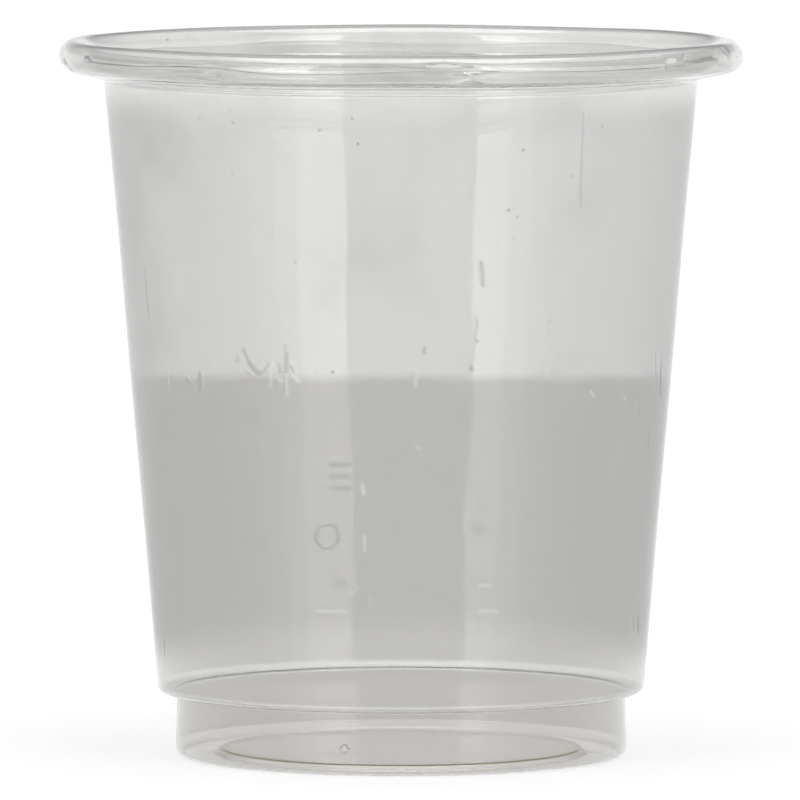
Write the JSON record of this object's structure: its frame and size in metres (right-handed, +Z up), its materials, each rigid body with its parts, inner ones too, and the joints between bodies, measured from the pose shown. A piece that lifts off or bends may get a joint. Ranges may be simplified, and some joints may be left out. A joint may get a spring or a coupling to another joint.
{
  "type": "plastic disposable cup",
  "caption": "Clear tapered thermoformed plastic drinking cup with a rolled rim, a stacking step above its foot and a raised base panel.",
  "frame": {"origin": "on the cup's axis, in the plane of the ring that it stands on", "axes": "+Z up along the axis to the mouth, -Y towards the side that carries the moulded marks"},
  "size_m": [0.075, 0.075, 0.0787],
  "materials": {
    "clear_plastic": "clear, slightly milky thin polypropylene sheet, glossy with fine scuffs"
  },
  "bodies": {
    "root": {"cup": "clear_plastic"}
  },
  "joints": []
}
